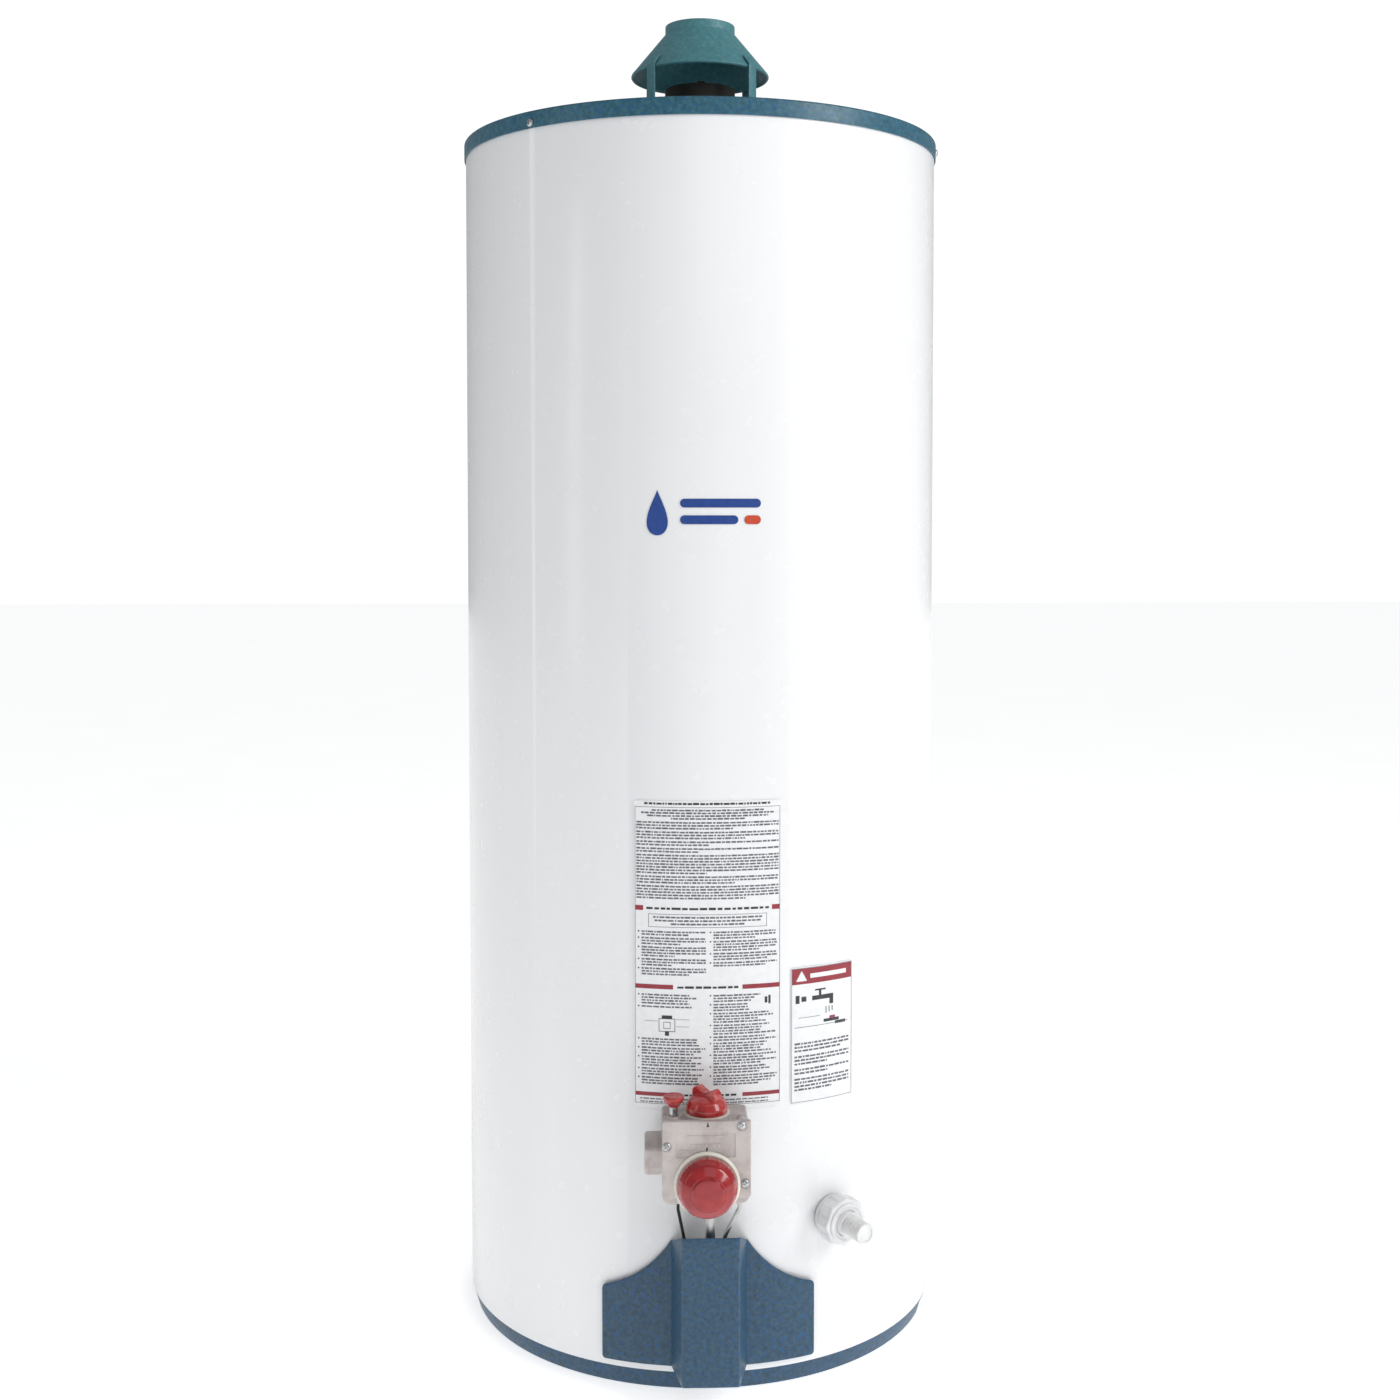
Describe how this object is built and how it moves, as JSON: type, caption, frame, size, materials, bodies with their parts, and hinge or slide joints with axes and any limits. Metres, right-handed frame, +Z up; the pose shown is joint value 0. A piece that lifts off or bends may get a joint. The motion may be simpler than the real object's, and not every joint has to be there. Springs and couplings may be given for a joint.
{
  "type": "tank water heater",
  "caption": "Upright gas tank water heater: white jacket, blue top cover and base, draft hood, gas control with dial and knobs, access cover, drain and relief valves.",
  "frame": {"origin": "on the tank's vertical axis, at the floor under the base pan", "axes": "+Z up, front (gas control and access cover) towards -Y, +X to the right seen from the front"},
  "size_m": [0.5134, 0.6203, 1.392],
  "materials": {
    "white_enamel": "gloss",
    "blue_paint": "satin",
    "teal_paint": "satin",
    "dark_steel": "matte",
    "tank_steel": "satin",
    "cast_metal": "satin",
    "bright_metal": "satin",
    "aluminium": "satin",
    "brass": "satin",
    "copper": "satin",
    "red_plastic": "gloss",
    "white_plastic": "satin",
    "black_rubber": "matte",
    "insulation": "matte",
    "printed_film": "satin"
  },
  "bodies": {
    "root": {"outer_jacket": "white_enamel", "base_pan": "blue_paint", "top_cover": "blue_paint", "draft_hood": "teal_paint", "hood_leg_1": "teal_paint", "hood_leg_2": "teal_paint", "hood_leg_3": "teal_paint", "hood_leg_4": "teal_paint", "flue_tube": "dark_steel", "flue_baffle": "dark_steel", "inner_door": "dark_steel", "thermocouple_nut": "dark_steel", "tank_shell": "tank_steel", "tank_top_head": "tank_steel", "tank_bottom_head": "tank_steel", "heat_shield": "tank_steel", "hot_spud": "tank_steel", "cold_spud": "tank_steel", "valve_spud": "tank_steel", "drain_spud": "tank_steel", "relief_spud": "tank_steel", "main_burner": "tank_steel", "burner_bracket": "tank_steel", "pilot_burner": "tank_steel", "valve_body": "cast_metal", "valve_cover_plate": "cast_metal", "cover_screw_1": "bright_metal", "cover_screw_2": "bright_metal", "cover_screw_3": "bright_metal", "valve_screw_1": "bright_metal", "valve_screw_2": "bright_metal", "valve_screw_3": "bright_metal", "door_screw_1": "bright_metal", "door_screw_2": "bright_metal", "hot_nipple": "bright_metal", "cold_nipple": "bright_metal", "relief_stem": "bright_metal", "burner_tube": "aluminium", "pilot_tube": "aluminium", "anode_rod": "aluminium", "relief_valve_body": "brass", "burner_tube_nut": "brass", "pilot_tube_nut": "brass", "burner_orifice": "brass", "thermocouple": "copper", "thermostat_probe": "copper", "drain_valve_body": "white_plastic", "dip_tube": "white_plastic", "drain_gasket": "black_rubber", "foam_insulation": "insulation", "chamber_insulation": "insulation", "instruction_label": "printed_film", "caution_label": "printed_film", "front_badge": "printed_film"},
    "temperature_dial": {"temperature_dial": "red_plastic"},
    "gas_cock_knob": {"gas_cock_knob": "red_plastic"},
    "pilot_button": {"pilot_button": "red_plastic"},
    "drain_handle": {"drain_handle": "white_plastic"},
    "relief_lever": {"relief_lever": "bright_metal"},
    "access_cover": {"access_cover": "blue_paint"}
  },
  "joints": [
    {"name": "temperature_dial_turn", "type": "hinge", "parent": "root", "child": "temperature_dial", "pos_m": [-0.0047, -0.33, 0.2346], "axis": [0, -1, 0], "range_deg": [-135, 135]},
    {"name": "gas_cock_turn", "type": "hinge", "parent": "root", "child": "gas_cock_knob", "pos_m": [-0.0039, -0.295, 0.293], "axis": [0, 0, 1], "range_deg": [0, 180]},
    {"name": "pilot_button_press", "type": "slide", "parent": "root", "child": "pilot_button", "axis": [0, 0, -1], "range_m": [0, 0.006], "stiffness_N_per_m": 300, "springref_m": -0.004},
    {"name": "drain_handle_turn", "type": "hinge", "parent": "root", "child": "drain_handle", "pos_m": [0.13248, -0.24098, 0.163], "axis": [0.4818, -0.8763, 0], "range_deg": [0, 360]},
    {"name": "relief_lever_lift", "type": "hinge", "parent": "root", "child": "relief_lever", "pos_m": [0.21469, 0.25586, 1.108], "axis": [-0.766, 0.6428, 0], "range_deg": [0, 80], "stiffness_Nm_per_rad": 0.3, "springref_deg": -20.05},
    {"name": "access_cover_remove", "type": "slide", "parent": "root", "child": "access_cover", "axis": [0, -1, 0], "range_m": [0, 0.25]}
  ]
}
